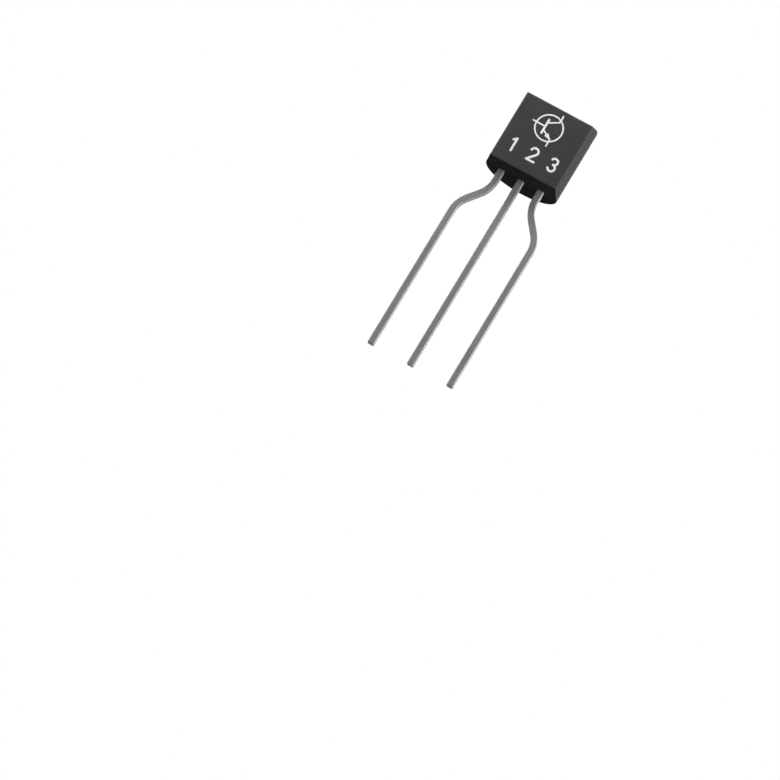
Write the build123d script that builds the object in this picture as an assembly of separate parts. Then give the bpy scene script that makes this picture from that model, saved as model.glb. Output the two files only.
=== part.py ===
from build123d import *
from math import isclose, radians, sqrt, tan
import os

# A small transistor: a D-shaped plastic package moulded round a stamped lead frame, with a chip and
# two bond wires sealed inside. Lengths are in millimetres and angles in degrees.
# X runs across the row of leads, Y from the flat front to the round back, and Z up to the body.
# The origin is on the middle lead, at the height where the formed leads enter the board.

# Moulded package
body_radius = 2.3         # round back
body_depth = 3.58         # flat front to the ridge of the back
body_height = 4.68        # where the two mould halves meet
side_draft = 9.2          # angle of the sides in front of that parting plane
end_draft = 11.8          # angle of both ends in front of it
back_draft = 0.9          # angle of both ends behind it
edge_round = 0.05         # edges of the flat front and of both ends
recess_diameter = 1.5     # ejector mark on the back
recess_depth = 0.3        # ridge of the back to the floor of the mark

# Lead frame, outside the package
sheet_thickness = 0.44
sheet_depth = 1.2         # flat front to the middle of the sheet
lead_width = 0.39
lead_length = 12.5        # underside of the package to the tips
body_pitch = 1.27         # between neighbouring leads at the package
board_pitch = 2.54        # between neighbouring leads at the board
stub_length = 0.64        # straight stretch under the package
bend_radius = 1.75        # on the middle line of the lead
bend_angle = 38.5

# Lead frame, inside the package
paddle_width = 1.6        # head of the middle lead, which carries the chip
paddle_rise = 1.75        # underside of the package to the paddle
paddle_cover = 1.16       # plastic above the paddle
neck_height = 0.6         # flare from the middle lead to the paddle
post_rise = 0.95          # underside of the package to the heads of the outer leads
post_reach = 0.25         # by which those posts pass the place of their bond wire
post_cover = 0.46         # plastic beside each post
frame_gap = 0.25          # between the paddle and each post
head_round = 0.12         # upper corners of the paddle and the posts

# Chip and bond wires
die_side = 0.5
die_thickness = 0.2
attach_thickness = 0.03   # layer under the chip
attach_margin = 0.05      # by which that layer shows round the chip
pad_spacing = 0.26        # between the two bond pads on the chip
wire_diameter = 0.05
wire_rise = 0.2           # chip to the knee of the wire
wire_bend = 0.1           # radius of that knee
ball_diameter = 0.11      # squashed ball that holds the wire on its pad
ball_height = 0.03

cut_overrun = 0.5         # by which a cutting shape passes the surface

# Depths, measured from the middle of the sheet
front_y = -sheet_depth
parting_y = -sheet_thickness / 2
back_y = body_depth - sheet_depth
die_face_y = parting_y - attach_thickness - die_thickness

# Half widths and half heights of the package at those depths
parting_half_width = sqrt(body_radius**2 - (back_y - body_radius - parting_y)**2)
flat_half_width = parting_half_width - (parting_y - front_y) * tan(radians(side_draft))
flat_half_height = body_height / 2 - (parting_y - front_y) * tan(radians(end_draft))
back_half_height = body_height / 2 - (back_y - parting_y) * tan(radians(back_draft))

# Heights, starting from the shape of the outer leads
bend_tangent = bend_radius * tan(radians(bend_angle) / 2)
jog_height = (board_pitch - body_pitch) / tan(radians(bend_angle)) + 2 * bend_tangent
underside_z = jog_height + stub_length
tip_z = underside_z - lead_length
middle_z = underside_z + body_height / 2

# Heads of the leads
paddle_z = underside_z + paddle_rise
paddle_top_z = underside_z + body_height - paddle_cover
die_z = (paddle_z + paddle_top_z) / 2
post_z = underside_z + post_rise
post_height = die_z + post_reach - post_z
post_x = paddle_width / 2 + frame_gap
post_width = parting_half_width - post_cover - post_x


def stamped(outline):
    """A piece of the lead frame: an outline in X and Z, cut through the thickness of the sheet."""
    return extrude(Plane.XZ * outline, amount=sheet_thickness / 2, both=True)


def collector_lead():
    """The straight middle lead, flaring into the paddle that carries the chip."""
    right_edge = [
        (lead_width / 2, tip_z),
        (lead_width / 2, paddle_z - neck_height),
        (paddle_width / 2, paddle_z),
        (paddle_width / 2, paddle_top_z),
    ]
    left_edge = [(-x, z) for x, z in reversed(right_edge)]
    outline = make_face(Polyline(*right_edge, *left_edge, close=True))
    upper_corners = outline.vertices().group_by(Axis.Y)[-1]
    return stamped(fillet(upper_corners, head_round))


def outer_lead():
    """The right-hand lead: a strip set outwards by two bends, with a bond post as its head."""
    route = FilletPolyline(
        (body_pitch, post_z),
        (body_pitch, jog_height - bend_tangent),
        (board_pitch, bend_tangent),
        (board_pitch, tip_z),
        radius=bend_radius,
    )
    corner = (Align.MIN, Align.MIN)
    post = Pos(post_x, post_z) * Rectangle(post_width, post_height, align=corner)
    upper_corners = post.vertices().group_by(Axis.Y)[-1]
    post = fillet(upper_corners, head_round)
    return stamped(trace(route, lead_width) + post)


def chip_layer(side, thickness, face_y):
    """A square layer on the paddle, with its front at face_y."""
    place = Pos(0, face_y + thickness / 2, die_z)
    return place * Box(side, thickness, side)


def bond_wire(lead):
    """The right-hand wire: up from its ball on the chip, over a knee and down on to the post."""
    pad = Vector(pad_spacing / 2, die_face_y, die_z)
    knee = pad - Vector(0, wire_rise, 0)
    end = Vector(post_x + post_width / 2, parting_y + wire_diameter, die_z)
    route = FilletPolyline(pad, knee, end, radius=wire_bend)
    section = Plane(origin=pad, z_dir=knee - pad) * Circle(wire_diameter / 2)
    wire = sweep(section, path=route)
    foot = (Align.CENTER, Align.CENTER, Align.MIN)
    ball = Plane(origin=pad, z_dir=knee - pad) * Cylinder(ball_diameter / 2, ball_height, align=foot)
    return wire + ball - lead


def plan_block():
    """The package seen along the leads: drafted sides to the parting plane, then the round back."""
    front = Polyline(
        (-parting_half_width, parting_y),
        (-flat_half_width, front_y),
        (flat_half_width, front_y),
        (parting_half_width, parting_y),
    )
    back = ThreePointArc(front @ 1, (0, back_y), front @ 0)
    outline = Pos(0, 0, middle_z) * make_face(front + back)
    return extrude(outline, amount=body_height / 2 + cut_overrun, both=True)


def side_block():
    """The package seen from the side: both ends drafted away from the parting plane."""
    stations = [(front_y, flat_half_height), (parting_y, body_height / 2), (back_y, back_half_height)]
    upper = [(y, middle_z + half_height) for y, half_height in stations]
    lower = [(y, middle_z - half_height) for y, half_height in reversed(stations)]
    outline = Plane.YZ * make_face(Polyline(*upper, *lower, close=True))
    return extrude(outline, amount=body_radius + cut_overrun, both=True)


def ejector_recess():
    """The flat-floored round mark that the mould's ejector pin leaves in the back."""
    floor = Plane(origin=(0, back_y - recess_depth, middle_z), z_dir=(0, 1, 0))
    foot = (Align.CENTER, Align.CENTER, Align.MIN)
    return floor * Cylinder(recess_diameter / 2, recess_depth + cut_overrun, align=foot)


def moulded_body(inserts):
    """The package, filling all the space round the inserts."""
    blank = plan_block() & side_block()
    front = blank.faces().sort_by(Axis.Y)[0]
    ends = blank.faces().filter_by(lambda face: abs(face.normal_at().Z) > abs(face.normal_at().Y))
    rounded = ShapeList(front.edges() + ends.edges()).filter_by(lambda edge: not lies_on_parting(edge))
    body = fillet(rounded, edge_round) - ejector_recess()
    for insert in inserts:
        body -= insert
    return body


def lies_on_parting(edge):
    """True for an edge that runs along the parting plane, where the mould leaves it sharp."""
    middle = edge @ 0.5
    return isclose(middle.Y, parting_y)


collector = collector_lead()
base = outer_lead()
base_wire = bond_wire(base)
pieces = {
    "collector_lead": collector,
    "base_lead": base,
    "emitter_lead": mirror(base, about=Plane.YZ),
    "die_attach": chip_layer(die_side + 2 * attach_margin, attach_thickness, parting_y - attach_thickness),
    "transistor_die": chip_layer(die_side, die_thickness, die_face_y),
    "base_bond_wire": base_wire,
    "emitter_bond_wire": mirror(base_wire, about=Plane.YZ),
}
pieces["moulded_body"] = moulded_body(list(pieces.values()))

os.makedirs("parts", exist_ok=True)
for name, piece in pieces.items():
    export_step(piece, f"parts/{name}.step")
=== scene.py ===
"""Looks of a small transistor with a D-shaped moulded package and three formed leads."""
from math import asin, ceil, cos, pi, radians, sin, tan

import bmesh
import bpy
import numpy as np
from mathutils import Matrix, Vector


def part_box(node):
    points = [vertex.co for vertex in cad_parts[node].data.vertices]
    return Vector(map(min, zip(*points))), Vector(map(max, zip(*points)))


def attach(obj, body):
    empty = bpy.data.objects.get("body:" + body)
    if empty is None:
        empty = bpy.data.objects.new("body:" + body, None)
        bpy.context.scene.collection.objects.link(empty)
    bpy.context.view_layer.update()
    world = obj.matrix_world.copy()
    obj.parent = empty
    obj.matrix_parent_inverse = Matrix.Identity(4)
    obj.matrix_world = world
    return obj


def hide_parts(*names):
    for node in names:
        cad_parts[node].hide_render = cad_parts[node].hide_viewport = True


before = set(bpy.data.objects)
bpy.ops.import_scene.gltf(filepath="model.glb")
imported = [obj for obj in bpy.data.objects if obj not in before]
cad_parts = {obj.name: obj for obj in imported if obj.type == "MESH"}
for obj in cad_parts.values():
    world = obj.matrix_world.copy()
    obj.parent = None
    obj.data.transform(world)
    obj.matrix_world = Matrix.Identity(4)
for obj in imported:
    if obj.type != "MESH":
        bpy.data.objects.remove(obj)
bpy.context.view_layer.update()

# Lengths are in millimetres, in the frame of the solids, and become metres where something is made.
# X runs across the row of leads, Y from the flat front to the round back, and Z up to the package.
MM = 0.001


def corners(node):
    """Lowest and highest corner of a solid."""
    low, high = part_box(node)
    return np.array(low) / MM, np.array(high) / MM


# Package
body_low, body_high = corners("moulded_body")
side_draft = radians(9.2)       # sides in front of the parting plane
end_draft = radians(11.8)       # both ends in front of it
back_draft = radians(0.9)       # both ends behind it
end_round = 0.05                # edges of both ends
corner_round = 0.07             # upright edges of the flat front
recess_radius = 0.75            # ejector mark on the back
recess_depth = 0.3
recess_rim_round = 0.025
recess_floor_round = 0.06

# Lead frame
lead_low, lead_high = corners("base_lead")
paddle_low, paddle_high = corners("collector_lead")
die_low, die_high = corners("transistor_die")
lead_width = 0.39
lead_edge = 0.06                # rounding left on the stamped edges by the plating
tip_edge = 0.025                # rounding of the sheared tips
body_pitch = 1.27               # between the leads where they leave the package
bend_radius = 1.75              # on the middle line of a lead
bend_angle = radians(38.5)
neck_height = 0.6               # flare from the middle lead to its paddle
paddle_rise = 1.75              # underside of the package to the paddle
post_rise = 0.95                # underside of the package to the heads of the outer leads
post_inner_x = 1.05             # side of a post that faces the middle
ledge_slope = 0.02              # height of the step from an outer lead to its post
post_cover = 0.46               # plastic beside each post
post_reach = 0.25               # by which a post passes the middle of the chip
head_round = 0.12               # upper corners of the paddle and the posts

# Marking on the flat front
pen_width = 0.13
ink_height = 0.003              # of the first stroke, and each one after it lies a little higher
ink_step = 0.001
number_height = 0.8
number_drop = 0.98              # middle of the flat down to the middle of the numbers
symbol_rise = 0.82              # middle of the flat up to the middle of the symbol
symbol_radius = 0.8
symbol_pen = 0.09

# Strokes of the pin numbers, chosen as shares of their height. Each has a start across and up,
# a heading in degrees, and moves. A move is a straight run's length or a bend's radius, with its turn.
number_shares = {
    1: [((-0.16, 0.8), 42, [(0.28, 0)]), ((0.05, 0.98), -90, [(0.98, 0)])],
    2: [((-0.266, 0.777), 80, [(0.27, -212), (0.738, 0)]), ((-0.29, 0), 0, [(0.6, 0)])],
    3: [((-0.218, 0.861), 65, [(0.24, -245)]), ((0, 0.52), 0, [(0.26, -245)])],
}

# Places in the circuit symbol, chosen as shares of its radius
bar_place_share = 0.3           # bar to the left of the middle
bar_half_share = 0.55           # half the length of the bar
branch_shares = (0.76, 0.46)    # run and rise of a slanted lead
branch_start_share = 0.27       # its start above or below the middle
lead_end_share = 1.26           # middle to the ends of the three leads
arrow_length_share = 0.46
arrow_half_share = 0.18         # half the width of the arrow

# Fineness of the meshes
weld_distance = 0.0005          # points that lie closer become one
bend_step = radians(3)          # turn between two rings round a bend
edge_steps = 5                  # points on a rounded edge, or one or two more
support = 0.02                  # loop that keeps the face beside a rounded edge flat
recess_steps = 28               # cells of the patch round the recess, each way
recess_zone = radians(30)       # half the angle of that patch round the back
back_steps = 26                 # points round the back from the parting plane to the patch
wall_steps = 6                  # rows from the border of the patch to an end
mark_rings = 9                  # rings from the border of the patch to the recess
core_share = 0.25               # of the recess's radius, for the face in the middle of its floor

# Camera, as the photograph shows the part
view_azimuth = radians(9.773)
view_elevation = radians(-14.5)
view_roll = radians(31.15)
view_distance = 400             # eye to the middle of the package
view_lens = 327.8               # for the camera's usual sensor
frame_pixels = 780
body_pixel = (541.7, 147.3)     # where the middle of the package lies in that frame
clip_share = 0.01               # of the distance, nearer than which nothing is drawn

# World, as shares of white. A lean is the cosine of the angle between two directions.
sky_low = 0.06                  # soft light from the bottom of the picture
sky_high = 0.34                 # soft light from its top
sky_lean = 0.5                  # lean to either, from which on its light is even
mirror_front = 0.34             # what gloss mirrors from in front of the part
mirror_lean = 0.3               # lean to front or back, from which on what it mirrors is even
mirror_low = 0.02               # share of that left in the lower left of the picture
shade_lean = -0.35              # lean to the upper right at which that dark corner is darkest
clear_lean = -0.05              # lean to the upper right at which it ends

# Floor
floor_z = -220
floor_half = 1500               # half its side
floor_grey = 0.82
floor_rough = 0.9
floor_glow = 0.8                # added to what the camera sees of it, which makes it white

# Depths, half widths and half heights of the package
front_y = body_low[1]
back_y = body_high[1]
parting_y = lead_low[1]
body_radius = (body_high[0] - body_low[0]) / 2
arc_y = back_y - body_radius
arc_start = asin((parting_y - arc_y) / body_radius)
parting_half_width = body_radius * cos(arc_start)
flat_half_width = parting_half_width - (parting_y - front_y) * tan(side_draft)
underside_z = body_low[2]
middle_z = (body_low[2] + body_high[2]) / 2
parting_half_height = (body_high[2] - body_low[2]) / 2
flat_half_height = parting_half_height - (parting_y - front_y) * tan(end_draft)
back_half_height = parting_half_height - (back_y - parting_y) * tan(back_draft)

# Places of the leads
half_width = lead_width / 2
half_sheet = (lead_high[1] - lead_low[1]) / 2
sheet_y = (lead_high[1] + lead_low[1]) / 2
board_pitch = lead_high[0] - half_width
tip_z = lead_low[2]
jog_run = (board_pitch - body_pitch) / sin(bend_angle) - 2 * bend_radius * tan(bend_angle / 2)
paddle_z = underside_z + paddle_rise
post_z = underside_z + post_rise
post_top_z = (die_low[2] + die_high[2]) / 2 + post_reach
post_outer_x = parting_half_width - post_cover


# Mesh tools

def grid_faces(rows, columns, closed):
    """Four-sided faces between neighbouring points of a grid, closed round its columns if asked."""
    row, column = np.meshgrid(np.arange(rows - 1), np.arange(columns - (not closed)), indexing="ij")
    following = (column + 1) % columns
    return np.stack([
        row * columns + column,
        row * columns + following,
        (row + 1) * columns + following,
        (row + 1) * columns + column,
    ], axis=-1)


def add_piece(name, points, faces, material, values=None, smooth=True):
    """Makes a mesh piece from points in millimetres, welds its seams and turns its faces outwards.

    values holds named lists with one number, or one vector, for each point, kept as attributes."""
    mesh = bpy.data.meshes.new(name)
    mesh.from_pydata((np.asarray(points) * MM).tolist(), [], faces)
    for label, value in (values or {}).items():
        value = np.asarray(value, dtype=np.float32)
        kind, field = ("FLOAT", "value") if value.ndim == 1 else ("FLOAT_VECTOR", "vector")
        layer = mesh.attributes.new(label, kind, "POINT")
        layer.data.foreach_set(field, value.ravel())
    shell = bmesh.new()
    shell.from_mesh(mesh)
    bmesh.ops.remove_doubles(shell, verts=shell.verts, dist=weld_distance * MM)
    bmesh.ops.recalc_face_normals(shell, faces=shell.faces)
    shell.to_mesh(mesh)
    shell.free()
    mesh.polygons.foreach_set("use_smooth", np.full(len(mesh.polygons), smooth))
    mesh.materials.append(material)
    piece = bpy.data.objects.new(name, mesh)
    bpy.context.scene.collection.objects.link(piece)
    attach(piece, "root")
    return piece


def route(start, heading, moves):
    """A line in X and Z made of straight runs and round bends, with its headings and lengths.

    A move is a length and a turn: the heading changes evenly by the turn over that length, so the
    points lie on a circle of radius length / turn, or on a straight line where the turn is zero."""
    points, headings, lengths = [], [], []
    here = np.array(start, dtype=float)
    gone = 0.0
    for length, turn in moves:
        count = max(2, ceil(abs(turn) / bend_step) + 1)
        along = np.linspace(0, length, count)
        angle = heading + turn * along / length
        if turn:
            radius = length / turn
            step_x = radius * (np.sin(angle) - sin(heading))
            step_z = radius * (cos(heading) - np.cos(angle))
        else:
            step_x = along * cos(heading)
            step_z = along * sin(heading)
        run = here + np.stack([step_x, step_z], axis=-1)
        first = 1 if points else 0
        points.append(run[first:])
        headings.append(angle[first:])
        lengths.append(gone + along[first:])
        here = run[-1]
        heading = heading + turn
        gone = gone + length
    return np.concatenate(points), np.concatenate(headings), np.concatenate(lengths)


def strip(points, headings, left, right, half_depth, edge, middle_y):
    """Points of a strip of rounded rectangular section carried along a line in X and Z.

    At each station the section reaches left and right of the line and half_depth to both sides of
    middle_y. Each of its corners is a quarter circle of radius edge, with one more point beside it
    on either face. Returns the grid of points and their places across and through the section."""
    quarter = np.arange(4)[:, None] * pi / 2
    turn = np.concatenate([[0], np.linspace(0, pi / 2, edge_steps), [pi / 2]])
    angle = (quarter + turn).ravel()
    beside = min(support, half_depth.min() - edge)
    slide = np.tile(np.concatenate([[-1], np.zeros(edge_steps), [1]]), 4) * beside
    toward_right = np.repeat([1, -1, -1, 1], edge_steps + 2)
    toward_back = np.repeat([1, 1, -1, -1], edge_steps + 2)
    reach = np.where(toward_right > 0, right[:, None], left[:, None])
    across = toward_right * (reach - edge) + edge * np.cos(angle) - slide * np.sin(angle)
    through = toward_back * (half_depth[:, None] - edge) + edge * np.sin(angle) + slide * np.cos(angle)
    grid = np.stack([
        points[:, :1] + across * np.sin(headings)[:, None],
        middle_y + through,
        points[:, 1:] - across * np.cos(headings)[:, None],
    ], axis=-1)
    return grid, across, through


def tube_walls(grid, start=0):
    """Faces round a grid of sections, open at both ends. start is the number of its first point."""
    return (grid_faces(*grid.shape[:2], closed=True).reshape(-1, 4) + start).tolist()


def closed_tube(grid, start=0):
    """Faces round a grid of sections, with one face across each end."""
    rows, columns = grid.shape[:2]
    first = start + np.arange(columns)
    last = first + (rows - 1) * columns
    return tube_walls(grid, start) + [first[::-1].tolist(), last.tolist()]


# Package

def half_height(y):
    """Half the package's height at a depth: a straight taper each way from the parting plane."""
    depths = [front_y, parting_y, back_y]
    return np.interp(y, depths, [flat_half_height, parting_half_height, back_half_height])


def right_outline(recess_angles):
    """Right half of the package seen along the leads, from the flat front to the ridge of the back.

    A quarter-round corner, the drafted side, and then the arc of the round back. Returns points and
    the outward directions in which they move when the outline is inset."""
    corner_x = flat_half_width - corner_round * (1 - sin(side_draft)) / cos(side_draft)
    corner = np.linspace(-pi / 2, -side_draft, edge_steps + 2)
    corner_points = np.stack([
        corner_x + corner_round * np.cos(corner),
        front_y + corner_round + corner_round * np.sin(corner),
    ], axis=-1)
    parting_point = np.array([parting_half_width, parting_y])
    side_run = parting_point - corner_points[-1]
    side_length = np.hypot(*side_run)
    side_shares = np.array([support, side_length / 2, side_length - support]) / side_length
    side_points = corner_points[-1] + side_shares[:, None] * side_run
    back = np.concatenate([
        arc_start + np.array([support / body_radius]),
        np.linspace(arc_start, recess_angles[0], back_steps)[1:-1],
        recess_angles,
    ])
    back_points = np.stack([body_radius * np.cos(back), arc_y + body_radius * np.sin(back)], axis=-1)
    angles = np.concatenate([corner, np.full(len(side_shares), -side_draft), [0], back])
    points = np.concatenate([corner_points, side_points, [parting_point], back_points])
    return points, np.stack([np.cos(angles), np.sin(angles)], axis=-1)


def body_walls(points, outward):
    """Upright surface of the package, from its lower to its upper rounded edge.

    Each column stands on a point of the outline. Near an end the columns lean inwards by a quarter
    circle, and the height of that end follows the depth of the leaning point. Returns the grid, how far
    each row lies on a rounded edge, and the first row of the patch round the recess."""
    lean = np.linspace(0, pi / 2, edge_steps + 1)
    inset = end_round * (1 - np.sin(lean))
    drop = end_round * (1 - np.cos(lean))
    edge_xy = points - inset[:, None, None] * outward
    edge_z = half_height(edge_xy[..., 1]) - drop[:, None]
    wall_top = edge_z[-1]
    zone = body_radius * sin(recess_zone)
    shares = np.linspace(0, 1, wall_steps)[:-1, None]
    upper = zone + shares * (wall_top - support - zone)
    upper = np.concatenate([upper, [wall_top - support]])[1:]
    middle = np.linspace(-zone, zone, recess_steps + 1)[:, None] * np.ones(len(points))
    wall_z = np.concatenate([-upper[::-1], middle, upper])
    wall_xy = np.broadcast_to(points, (len(wall_z), *points.shape))
    xy = np.concatenate([edge_xy, wall_xy, edge_xy[::-1]])
    z = np.concatenate([-edge_z, wall_z, edge_z[::-1]])
    rounded = np.concatenate([np.sin(2 * lean), np.zeros(len(wall_z)), np.sin(2 * lean)])
    first_zone_row = len(lean) + len(upper)
    return np.concatenate([xy, middle_z + z[..., None]], axis=-1), rounded, first_zone_row


def body_end(points, outward, side):
    """One end of the package: rows straight across from the left to the right edge, at equal depth."""
    inner = points - end_round * outward
    corner_x = inner[0, 0]
    inner_share = (corner_x - support) / corner_x
    shares = np.array([-1, -inner_share, inner_share, 1])
    x = inner[:, :1] * shares
    y = np.broadcast_to(inner[:, 1:], x.shape)
    z = middle_z + side * half_height(y)
    return np.stack([x, y, z], axis=-1)


def ejector_mark(border_x, border_z):
    """Patch of the back round the ejector mark, from the border of the patch to the middle of its floor.

    Rings shrink from the border to a circle, staying on the round back. There they turn into the
    wall over a small round, run down to the floor, and cross it to a small face in the middle."""
    direction = np.arctan2(border_z, border_x)
    lip = recess_radius + recess_rim_round
    shares = np.linspace(0, 1, mark_rings)[:, None]
    sheet_x = border_x + shares * (lip * np.cos(direction) - border_x)
    sheet_z = border_z + shares * (lip * np.sin(direction) - border_z)
    back_sheet_y = arc_y + np.sqrt(body_radius**2 - sheet_x**2)
    turn = np.linspace(0, pi / 2, edge_steps)[1:, None]
    level_ring = np.zeros((1, len(direction)))
    floor_y = back_y - recess_depth
    floor_edge = recess_radius - recess_floor_round
    rim_out = recess_radius + recess_rim_round * (1 - np.sin(turn))
    rim_y = back_sheet_y[-1] - recess_rim_round * (1 - np.cos(turn))
    start_y = floor_y + recess_floor_round + level_ring
    foot_out = recess_radius - recess_floor_round * (1 - np.cos(turn))
    foot_y = floor_y + recess_floor_round * (1 - np.sin(turn)) + level_ring
    floor_out = np.linspace(floor_edge, core_share * recess_radius, edge_steps)[1:, None]
    floor_rings_y = np.full((len(floor_out), len(direction)), floor_y)
    out = np.concatenate([rim_out, [[recess_radius]], foot_out, floor_out])
    x = np.concatenate([sheet_x, out * np.cos(direction)])
    y = np.concatenate([back_sheet_y, rim_y, start_y, foot_y, floor_rings_y])
    z = np.concatenate([sheet_z, out * np.sin(direction)])
    return np.stack([x, y, middle_z + z], axis=-1)


def moulded_body(material):
    """The whole package: upright walls, two ends and the ejector mark, welded along their borders."""
    recess_angles = np.linspace(pi / 2 - recess_zone, pi / 2, recess_steps // 2 + 1)
    points, outward = right_outline(recess_angles)
    flat_point = points[0] - [support, 0]
    half_points = np.concatenate([[flat_point], points])
    half_outward = np.concatenate([[[0, -1]], outward])
    mirror = np.array([-1, 1])
    all_points = np.concatenate([half_points, (half_points * mirror)[-2::-1]])
    all_outward = np.concatenate([half_outward, (half_outward * mirror)[-2::-1]])

    walls, rounded, zone_row = body_walls(all_points, all_outward)
    wall_faces = grid_faces(*walls.shape[:2], closed=True)
    ridge = len(half_points) - 1
    reach = recess_steps // 2
    kept = np.ones(wall_faces.shape[:2], dtype=bool)
    kept[zone_row:zone_row + recess_steps, ridge - reach:ridge + reach] = False

    zone = walls[zone_row:zone_row + recess_steps + 1, ridge - reach:ridge + reach + 1]
    border = np.concatenate([zone[0, :-1], zone[:-1, -1], zone[-1, :0:-1], zone[:0:-1, 0]])
    mark = ejector_mark(border[:, 0], border[:, 2] - middle_z)
    ends = [body_end(points, outward, side) for side in (-1, 1)]

    # How far each point lies on a rounded edge: the package's material paints a highlight there as a paler
    # colour, and makes it smoother.
    corner_edge = np.zeros(len(all_points))
    corner_edge[1:edge_steps + 3] = np.sin(np.linspace(0, pi, edge_steps + 2))
    corner_edge = np.maximum(corner_edge, corner_edge[::-1])
    wall_edge = np.maximum(rounded[:, None], corner_edge[None, :])

    grids = [walls, mark, *ends]
    faces = wall_faces[kept].tolist()
    start = walls.shape[0] * walls.shape[1]
    faces += tube_walls(mark, start)
    floor_ring = start + (mark.shape[0] - 1) * mark.shape[1] + np.arange(mark.shape[1])
    faces.append(floor_ring.tolist())
    start += mark.shape[0] * mark.shape[1]
    for end in ends:
        faces += (grid_faces(*end.shape[:2], closed=False).reshape(-1, 4) + start).tolist()
        start += end.shape[0] * end.shape[1]
    edge = np.zeros(start)
    edge[:wall_edge.size] = wall_edge.ravel()
    points = np.concatenate([grid.reshape(-1, 3) for grid in grids])
    body = add_piece("package", points, faces, material, {"edge": edge})
    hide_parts("moulded_body")


# Leads

def lead_piece(name, node, moves, start_x, head, material, mirrored=False):
    """A lead from its sheared tip to its head: a strip along its route, then a head of its own width.

    head gives the heights of the head's stations, with its reach to the left and right of the line.
    The attribute run holds, for each point, its place along, across and through the strip."""
    points, headings, lengths = route((start_x, tip_z), pi / 2, moves)
    head_z, head_left, head_right = head
    head_points = np.stack([np.full(len(head_z), points[-1, 0]), head_z], axis=-1)
    head_headings = np.full(len(head_z), pi / 2)
    head_lengths = lengths[-1] + head_z - points[-1, 1]
    tip_lengths = np.array([0, 0, tip_edge, tip_edge + support])
    tip_inset = np.array([tip_edge + support, tip_edge, 0, 0])
    tip_points = np.stack([np.full(len(tip_lengths), start_x), tip_z + tip_lengths], axis=-1)
    tip_headings = np.full(len(tip_lengths), pi / 2)
    points = np.concatenate([tip_points, points[1:], head_points])
    headings = np.concatenate([tip_headings, headings[1:], head_headings])
    lengths = np.concatenate([tip_lengths, lengths[1:], head_lengths])
    plain = len(points) - len(head_z)
    left = np.concatenate([np.full(plain, half_width), head_left])
    right = np.concatenate([np.full(plain, half_width), head_right])
    depth = np.full(len(points), half_sheet)
    for reach in (left, right, depth):
        reach[:len(tip_inset)] -= tip_inset
    grid, across, through = strip(points, headings, left, right, depth, lead_edge, sheet_y)
    along = np.broadcast_to(lengths[:, None], across.shape)
    if mirrored:
        grid = grid * [-1, 1, 1]
    run = np.stack([along, across, through], axis=-1).reshape(-1, 3)
    piece = add_piece(name, grid.reshape(-1, 3), closed_tube(grid), material, {"run": run})
    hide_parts(node)


def rounded_head(low_z, high_z, left, right):
    """Heights and reaches of a head with straight sides and quarter-round upper corners."""
    turn = np.linspace(0, pi / 2, edge_steps + 1)
    heights = np.concatenate([[low_z], high_z - head_round * (1 - np.sin(turn))])
    inset = np.concatenate([[0], head_round * (1 - np.cos(turn))])
    return heights, left - inset, right - inset


def leads(material):
    """The straight middle lead with its paddle, and the two outer leads with their posts."""
    straight = [(underside_z - tip_z, 0), (paddle_z - neck_height - underside_z, 0)]
    half_paddle = (paddle_high[0] - paddle_low[0]) / 2
    paddle = rounded_head(paddle_z, paddle_high[2], half_paddle, half_paddle)
    lead_piece("middle_lead", "collector_lead", straight, 0, paddle, material)
    bend_run = bend_radius * bend_angle
    jog_top_z = 2 * bend_radius * sin(bend_angle) + jog_run * cos(bend_angle)
    formed = [
        (-tip_z, 0),
        (bend_run, bend_angle),
        (jog_run, 0),
        (bend_run, -bend_angle),
        (underside_z - jog_top_z, 0),
        (post_rise - ledge_slope, 0),
    ]
    post = rounded_head(post_z, post_top_z, body_pitch - post_inner_x, post_outer_x - body_pitch)
    lead_piece("right_lead", "base_lead", formed, board_pitch, post, material)
    lead_piece("left_lead", "emitter_lead", formed, board_pitch, post, material, mirrored=True)


# Marking

def pen_stroke(start, heading, moves, width):
    """A line of even width with round ends: near an end the reach follows a half circle.

    Returns the points, headings and reaches of its stations. A line that closes has no ends."""
    line, headings = route(start, heading, moves)[:2]
    half_pen = width / 2
    reach = np.full(len(line), half_pen)
    if np.allclose(line[0], line[-1]):
        return line, headings, reach
    turn = np.linspace(0, pi / 2, edge_steps + 1)[:-1]
    cap_out = half_pen * np.cos(turn)[:, None]
    cap_reach = half_pen * np.sin(turn)
    first = line[0] - cap_out * [cos(headings[0]), sin(headings[0])]
    last = line[-1] + cap_out[::-1] * [cos(headings[-1]), sin(headings[-1])]
    line = np.concatenate([first, line, last])
    first_headings = np.full(len(turn), headings[0])
    last_headings = np.full(len(turn), headings[-1])
    headings = np.concatenate([first_headings, headings, last_headings])
    reach = np.concatenate([cap_reach, reach, cap_reach[::-1]])
    return line, headings, reach


def arrow_head(tip, heading, length, half_base):
    """A filled triangle: its reach shrinks evenly to nothing at the tip."""
    back = np.array([length, 0])
    line = np.array(tip) - back[:, None] * [cos(heading), sin(heading)]
    return line, np.full(2, heading), np.array([half_base, 0])


def ink_piece(name, strokes, material):
    """White strokes on the flat: thin strips, each a little higher than the one before it.

    The edges of a stroke are rounded by its height, and it is never narrower than they need."""
    points = []
    faces = []
    start = 0
    for order, (line, headings, reach) in enumerate(strokes):
        height = ink_height + ink_step * order
        depth = np.full(len(line), height)
        both_edges = 2 * height
        reach = np.maximum(reach, both_edges)
        grid = strip(line, headings, reach, reach, depth, height, front_y)[0]
        is_ring = np.allclose(line[0], line[-1])
        faces += tube_walls(grid, start) if is_ring else closed_tube(grid, start)
        points.append(grid.reshape(-1, 3))
        start += grid.shape[0] * grid.shape[1]
    add_piece(name, np.concatenate(points), faces, material, smooth=False)


def pen_move(size, degrees):
    """A straight run of a length or, where it turns, a bend of a radius. Gives its length and turn."""
    turn = radians(degrees)
    length = abs(size * turn) if turn else size
    return length, turn


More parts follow.
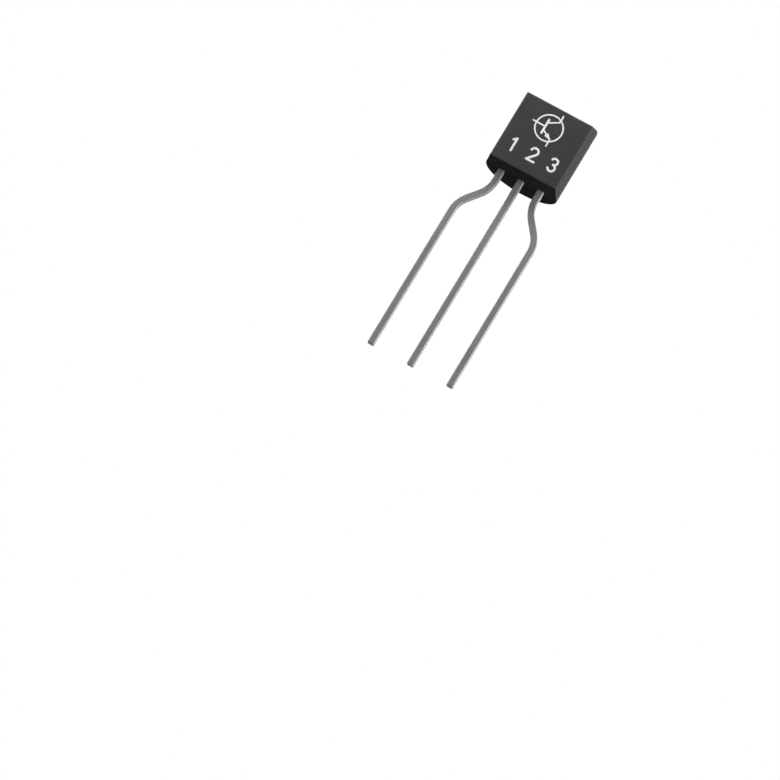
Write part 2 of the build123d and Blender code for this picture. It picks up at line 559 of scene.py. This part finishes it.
def number_strokes(number, x, z):
    """Strokes of the number 1, 2 or 3, one number_height tall, centred on x and z."""
    low = z - number_height / 2
    strokes = []
    for (across, up), heading, moves in number_shares[number]:
        start = (x + across * number_height, low + up * number_height)
        path = [pen_move(share * number_height, degrees) for share, degrees in moves]
        strokes.append(pen_stroke(start, radians(heading), path, pen_width))
    return strokes


def symbol_strokes(x, z):
    """Circuit symbol of a transistor: a circle, a bar and three leads, the lower one with an arrow."""
    unit = symbol_radius
    bar_x = x - bar_place_share * unit
    bar_half = bar_half_share * unit
    branch = np.array(branch_shares) * unit
    branch_rise = branch_start_share * unit
    lead_end = lead_end_share * unit
    slope = np.arctan2(branch[1], branch[0])
    run = np.hypot(*branch)
    knee_x = bar_x + branch[0]
    knee_rise = branch_rise + branch[1]
    tail = lead_end - knee_rise
    arrow_tip = np.array([bar_x, z - branch_rise]) + branch * [1, -1]
    strokes = [
        pen_stroke((x, z - unit), 0, [(2 * pi * unit, 2 * pi)], symbol_pen),
        pen_stroke((bar_x, z - bar_half), pi / 2, [(2 * bar_half, 0)], pen_width),
        pen_stroke((x - lead_end, z), 0, [(bar_x - x + lead_end, 0)], symbol_pen),
    ]
    for side in (-1, 1):
        strokes.append(pen_stroke((bar_x, z + side * branch_rise), side * slope, [(run, 0)], symbol_pen))
        strokes.append(pen_stroke((knee_x, z + side * knee_rise), side * pi / 2, [(tail, 0)], symbol_pen))
    strokes.append(arrow_head(arrow_tip, -slope, arrow_length_share * unit, arrow_half_share * unit))
    return strokes


def marking(material):
    """Pin numbers over the three leads, and the circuit symbol above them."""
    numbers = []
    for number in (1, 2, 3):
        numbers += number_strokes(number, (number - 2) * body_pitch, middle_z - number_drop)
    ink_piece("pin_numbers", numbers, material)
    ink_piece("circuit_symbol", symbol_strokes(0, middle_z + symbol_rise), material)


# Materials

def place(tree, kind, inputs=None, **properties):
    """Adds a node, sets its properties, and gives each named input a value or a link."""
    node = tree.nodes.new(kind)
    for name, value in properties.items():
        setattr(node, name, value)
    for name, value in (inputs or {}).items():
        if isinstance(value, bpy.types.NodeSocket):
            tree.links.new(value, node.inputs[name])
        else:
            node.inputs[name].default_value = value
    return node


def spread(tree, value, low, high, from_low=0.3, from_high=0.7):
    """Stretches a value between two numbers, by default the middle of a noise."""
    inputs = {"Value": value, "From Min": from_low, "From Max": from_high, "To Min": low, "To Max": high}
    return place(tree, "ShaderNodeMapRange", inputs).outputs["Result"]


def shade(tree, value, dark, light):
    """A colour between two colours."""
    ramp = place(tree, "ShaderNodeValToRGB", {"Fac": value})
    ramp.color_ramp.elements[0].color = (*dark, 1)
    ramp.color_ramp.elements[1].color = (*light, 1)
    return ramp.outputs["Color"]


def combine(tree, operation, first, second):
    """One arithmetic step on two values."""
    node = place(tree, "ShaderNodeMath", {0: first, 1: second}, operation=operation)
    return node.outputs["Value"]


def grain_group():
    """Shared effect: slow patches and fine grain in the surface, each with its own size in millimetres."""
    tree = bpy.data.node_groups.new("surface_grain", "ShaderNodeTree")
    sizes = place(tree, "NodeGroupInput")
    result = place(tree, "NodeGroupOutput")
    position = place(tree, "ShaderNodeTexCoord").outputs["Object"]
    patch_detail = 2
    grain_detail = 4
    for size, output, detail in (
        ("Patch Size", "Patches", patch_detail),
        ("Grain Size", "Grain", grain_detail),
    ):
        tree.interface.new_socket(size, in_out="INPUT", socket_type="NodeSocketFloat")
        tree.interface.new_socket(output, in_out="OUTPUT", socket_type="NodeSocketFloat")
        scale = combine(tree, "DIVIDE", 1 / MM, sizes.outputs[size])
        noise = place(tree, "ShaderNodeTexNoise", {"Vector": position, "Scale": scale, "Detail": detail})
        tree.links.new(noise.outputs["Fac"], result.inputs[output])
    return tree


def new_material(name, patch_size, grain_size):
    """A material with a principled shader and the shared grain.

    Returns it with its tree, its shader and the outputs of the grain."""
    material = bpy.data.materials.new(name)
    material.use_nodes = True
    tree = material.node_tree
    shader = tree.nodes["Principled BSDF"]
    grain = tree.nodes.new("ShaderNodeGroup")
    grain.node_tree = surface_grain
    grain.inputs["Patch Size"].default_value = patch_size
    grain.inputs["Grain Size"].default_value = grain_size
    return material, tree, shader, grain.outputs


def set_bump(tree, shader, height, strength, depth):
    """Relief of a given depth in millimetres."""
    inputs = {"Height": height, "Strength": strength, "Distance": depth * MM}
    bump = place(tree, "ShaderNodeBump", inputs)
    tree.links.new(bump.outputs["Normal"], shader.inputs["Normal"])


def mould_compound():
    """Black filled epoxy with a fine sparked grain, smoother along its edges, where a paler colour paints
    a highlight.
    """
    material, tree, shader, grain = new_material("mould_compound", patch_size=1.4, grain_size=0.05)
    edge = place(tree, "ShaderNodeAttribute", attribute_name="edge").outputs["Fac"]
    # Painted highlight: the rounded edges are made paler, as if light caught them. Their lower roughness
    # is real.
    edge_highlight_paleness = 0.8
    edge_smoothness = 0.25
    patches = spread(tree, grain["Patches"], low=0.08, high=0.2)
    specks = spread(tree, grain["Grain"], low=0, high=0.06)
    tone = combine(tree, "ADD", patches, specks)
    tone = combine(tree, "ADD", tone, combine(tree, "MULTIPLY", edge, edge_highlight_paleness))
    colour = shade(tree, tone, dark=(0.045, 0.045, 0.0465), light=(0.125, 0.125, 0.128))
    rough = spread(tree, grain["Grain"], low=0.5, high=0.62)
    rough = combine(tree, "SUBTRACT", rough, combine(tree, "MULTIPLY", edge, edge_smoothness))
    tree.links.new(colour, shader.inputs["Base Color"])
    tree.links.new(rough, shader.inputs["Roughness"])
    shader.inputs["Specular IOR Level"].default_value = 0.06
    set_bump(tree, shader, grain["Grain"], strength=0.25, depth=0.004)
    return material


def tinned_lead():
    """Dull tin plate with faint streaks drawn along the lead.

    The sheared tip is rougher and hardly mirrors, and the stamped sides are partly so. Both are made
    paler, partly as the colour of cut metal and partly as painted light that brightens the tips and sides.
    How far a place is so follows from where it lies along and across the lead."""
    material, tree, shader, grain = new_material("tinned_lead", patch_size=2.2, grain_size=0.08)
    streak_scale = (0.4, 9, 9)      # along, across and through the lead
    streak_detail = 2
    side_bareness_and_painted_light = 0.28            # of the stamped sides, where the tip has 1
    dull_bareness = 0.6             # from which on nothing is mirrored
    # Painted light, in part: the tips and the stamped sides are made paler than the plate, partly as the
    # colour of cut metal and partly to brighten them as if lit.
    painted_light_and_bare_paleness = 0.86
    run = place(tree, "ShaderNodeAttribute", attribute_name="run").outputs["Vector"]
    stretched = place(tree, "ShaderNodeMapping", {"Vector": run, "Scale": streak_scale}).outputs["Vector"]
    noise_inputs = {"Vector": stretched, "Scale": 1, "Detail": streak_detail}
    streak = place(tree, "ShaderNodeTexNoise", noise_inputs).outputs["Fac"]
    axes = place(tree, "ShaderNodeSeparateXYZ", {"Vector": run}).outputs
    tip = spread(tree, axes["X"], low=1, high=0, from_low=0, from_high=tip_edge)
    beside = combine(tree, "ABSOLUTE", axes["Y"], 0)
    flat_edge = half_width - lead_edge
    stamped = spread(tree, beside, low=0, high=side_bareness_and_painted_light, from_low=flat_edge, from_high=half_width)
    bare_and_painted_light = combine(tree, "MAXIMUM", tip, stamped)

    streaks = spread(tree, streak, low=0, high=0.08)
    patches = spread(tree, grain["Patches"], low=0, high=0.055)
    tone = combine(tree, "ADD", streaks, patches)
    # Tips and stamped sides painted paler: partly the colour of cut metal, partly painted light.
    tone = combine(tree, "ADD", tone, combine(tree, "MULTIPLY", bare_and_painted_light, painted_light_and_bare_paleness))
    colour = shade(tree, tone, dark=(0.34, 0.34, 0.343), light=(0.9, 0.9, 0.9))
    plate_rough = spread(tree, streak, low=0.28, high=0.36)
    bare_rough = spread(tree, bare_and_painted_light, low=0, high=0.34, from_low=0, from_high=side_bareness_and_painted_light)
    rough = combine(tree, "ADD", plate_rough, bare_rough)
    metallic = spread(tree, bare_and_painted_light, low=0.6, high=0, from_low=0, from_high=dull_bareness)
    tree.links.new(colour, shader.inputs["Base Color"])
    tree.links.new(rough, shader.inputs["Roughness"])
    tree.links.new(metallic, shader.inputs["Metallic"])
    set_bump(tree, shader, streak, strength=0.1, depth=0.004)
    return material


def marking_ink():
    """Matt white marking, thinner in places."""
    material, tree, shader, grain = new_material("marking_ink", patch_size=0.4, grain_size=0.03)
    tone = spread(tree, grain["Grain"], low=0, high=1)
    colour = shade(tree, tone, dark=(0.9, 0.9, 0.89), light=(0.97, 0.97, 0.97))
    rough = spread(tree, grain["Grain"], low=0.5, high=0.65)
    tree.links.new(colour, shader.inputs["Base Color"])
    tree.links.new(rough, shader.inputs["Roughness"])
    return material


def inner_material(name, dark, light, metallic, rough, patch_size, grain_size):
    """Finish of a piece sealed in the package: two tones, with a grain in its gloss."""
    material, tree, shader, grain = new_material(name, patch_size, grain_size)
    rough_range = 0.12
    colour = shade(tree, grain["Patches"], dark, light)
    rough = spread(tree, grain["Grain"], rough, rough + rough_range)
    tree.links.new(colour, shader.inputs["Base Color"])
    tree.links.new(rough, shader.inputs["Roughness"])
    shader.inputs["Metallic"].default_value = metallic
    return material


def finish_inner_pieces():
    """Silicon chip, its silver-filled paste and the gold wires, all sealed in the package."""
    silicon = inner_material(
        "silicon", dark=(0.17, 0.17, 0.21), light=(0.23, 0.23, 0.27),
        metallic=0.6, rough=0.15, patch_size=0.3, grain_size=0.01,
    )
    paste = inner_material(
        "attach_paste", dark=(0.44, 0.44, 0.42), light=(0.56, 0.56, 0.54),
        metallic=0.3, rough=0.55, patch_size=0.1, grain_size=0.02,
    )
    gold = inner_material(
        "bond_gold", dark=(0.74, 0.52, 0.2), light=(0.86, 0.64, 0.28),
        metallic=1, rough=0.2, patch_size=0.1, grain_size=0.01,
    )
    finishes = {
        "transistor_die": silicon,
        "die_attach": paste,
        "emitter_bond_wire": gold,
        "base_bond_wire": gold,
    }
    for node, material in finishes.items():
        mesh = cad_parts[node].data
        mesh.materials.clear()
        mesh.materials.append(material)


# Studio

def picture_axes():
    """Directions to the right, upwards and away from the eye in the photograph's picture."""
    look = Vector((
        -sin(view_azimuth) * cos(view_elevation),
        cos(view_azimuth) * cos(view_elevation),
        -sin(view_elevation),
    ))
    level = Vector((cos(view_azimuth), sin(view_azimuth), 0))
    upright = level.cross(look)
    right = cos(view_roll) * level + sin(view_roll) * upright
    up = cos(view_roll) * upright - sin(view_roll) * level
    return right, up, look


def picture_direction(right, up, away):
    """A direction given by its parts to the right, upwards and away from the eye in the picture."""
    return right * picture_right + up * picture_up + away * picture_look


def along_axis(tree, direction, axis):
    """How far a direction leans towards an axis, from -1 to 1."""
    node = place(tree, "ShaderNodeVectorMath", {0: direction, 1: axis}, operation="DOT_PRODUCT")
    return node.outputs["Value"]


def camera_sees(tree, ray):
    """One where the camera looks, also through something clear, and nothing for all other rays."""
    return combine(tree, "MAXIMUM", ray["Is Camera Ray"], ray["Is Transmission Ray"])


def studio_world():
    """White behind the part, also in what it mirrors, with soft light from the top of the picture."""
    world = bpy.data.worlds.new("studio")
    bpy.context.scene.world = world
    world.use_nodes = True
    tree = world.node_tree
    ray = place(tree, "ShaderNodeLightPath").outputs
    direction = place(tree, "ShaderNodeTexCoord").outputs["Generated"]
    upwards = along_axis(tree, direction, picture_up)
    behind = along_axis(tree, direction, picture_look)
    upper_right = along_axis(tree, direction, picture_direction(right=0.6, up=0.8, away=0))
    soft = spread(tree, upwards, sky_low, sky_high, -sky_lean, sky_lean)
    paper = spread(tree, behind, mirror_front, 1, -mirror_lean, mirror_lean)
    corner = spread(tree, upper_right, mirror_low, 1, shade_lean, clear_lean)
    mirrored = combine(tree, "MULTIPLY", paper, corner)
    light = place(tree, "ShaderNodeMix", {"Factor": ray["Is Glossy Ray"], "A": soft, "B": mirrored})
    seen = camera_sees(tree, ray)
    strength = place(tree, "ShaderNodeMix", {"Factor": seen, "A": light.outputs["Result"], "B": 1})
    background = tree.nodes["Background"]
    background.inputs["Color"].default_value = (1, 1, 1, 1)
    tree.links.new(strength.outputs["Result"], background.inputs["Strength"])


def soft_lamp(name, direction, distance, width, height, level, aim_z=middle_z):
    """A flat lamp aimed at the middle of the part at a height, by default that of the package.

    Its width lies as near to the row of leads as that aim allows, and level is what a white surface
    that faces it there would show."""
    lamp = bpy.data.lights.new(name, "AREA")
    lamp.shape = "RECTANGLE"
    lamp.size = width * MM
    lamp.size_y = height * MM
    lamp.energy = level * (pi * distance * MM)**2
    holder = bpy.data.objects.new(name, lamp)
    away = direction.normalized()
    across = (Vector((1, 0, 0)) - away.x * away).normalized()
    turned = Matrix((across, away.cross(across), away)).transposed().to_4x4()
    station = Vector((0, 0, aim_z)) + away * distance
    holder.matrix_world = Matrix.Translation(station * MM) @ turned
    holder.visible_camera = False
    bpy.context.scene.collection.objects.link(holder)


def studio_lamps():
    """A lamp over the picture, one to the right, a small one under the tips and two behind the part."""
    overhead = picture_direction(right=-0.2, up=1, away=-0.08)
    to_the_right = Vector((1, -0.1, 0))
    below = Vector((0, 0, -1))
    rear_left = Vector((-0.5, 0.8, 0.6))
    behind = picture_direction(right=0.2, up=0.05, away=1)
    soft_lamp("top_lamp", overhead, distance=50, width=60, height=14, level=1.6)
    soft_lamp("right_lamp", to_the_right, distance=160, width=170, height=60, level=0.95)
    soft_lamp("tip_lamp", below, distance=4, width=7, height=2, level=0.12, aim_z=tip_z)
    soft_lamp("rear_lamp", rear_left, distance=160, width=120, height=120, level=0.7)
    soft_lamp("back_lamp", behind, distance=160, width=90, height=90, level=0.12)


def pale_floor():
    """A wide pale floor well below the part, shown as white where no shadow falls."""
    side = np.array([-1, 1]) * floor_half * MM
    x, y = np.meshgrid(side, side, indexing="ij")
    points = np.stack([x, y, np.full_like(x, floor_z * MM)], axis=-1).reshape(-1, 3)
    mesh = bpy.data.meshes.new("floor")
    mesh.from_pydata(points.tolist(), [], [(0, 2, 3, 1)])
    material = bpy.data.materials.new("floor_paper")
    material.use_nodes = True
    tree = material.node_tree
    shader = tree.nodes["Principled BSDF"]
    shader.inputs["Base Color"].default_value = (floor_grey, floor_grey, floor_grey, 1)
    shader.inputs["Roughness"].default_value = floor_rough
    shader.inputs["Emission Color"].default_value = (1, 1, 1, 1)
    seen = camera_sees(tree, place(tree, "ShaderNodeLightPath").outputs)
    tree.links.new(combine(tree, "MULTIPLY", seen, floor_glow), shader.inputs["Emission Strength"])
    mesh.materials.append(material)
    floor = bpy.data.objects.new("floor", mesh)
    floor.visible_glossy = False
    floor.visible_diffuse = False
    bpy.context.scene.collection.objects.link(floor)


def photo_camera():
    """The camera at the photograph's angle, with the middle of the package at its pixel."""
    camera = bpy.data.cameras.new("camera")
    camera.lens = view_lens
    focal_pixels = view_lens / camera.sensor_width * frame_pixels
    pixel_length = view_distance / focal_pixels
    beside = (body_pixel[0] - frame_pixels / 2) * pixel_length
    above = (frame_pixels / 2 - body_pixel[1]) * pixel_length
    package = Vector((0, 0, middle_z))
    station = (package - picture_direction(beside, above, view_distance)) * MM
    camera.clip_start = clip_share * view_distance * MM
    holder = bpy.data.objects.new("camera", camera)
    turned = Matrix((picture_right, picture_up, -picture_look)).transposed().to_4x4()
    holder.matrix_world = Matrix.Translation(station) @ turned
    bpy.context.scene.collection.objects.link(holder)
    bpy.context.scene.camera = holder


surface_grain = grain_group()
moulded_body(mould_compound())
leads(tinned_lead())
marking(marking_ink())
finish_inner_pieces()

picture_right, picture_up, picture_look = picture_axes()
studio_world()
studio_lamps()
pale_floor()
photo_camera()
bpy.context.scene.view_settings.view_transform = "Standard"
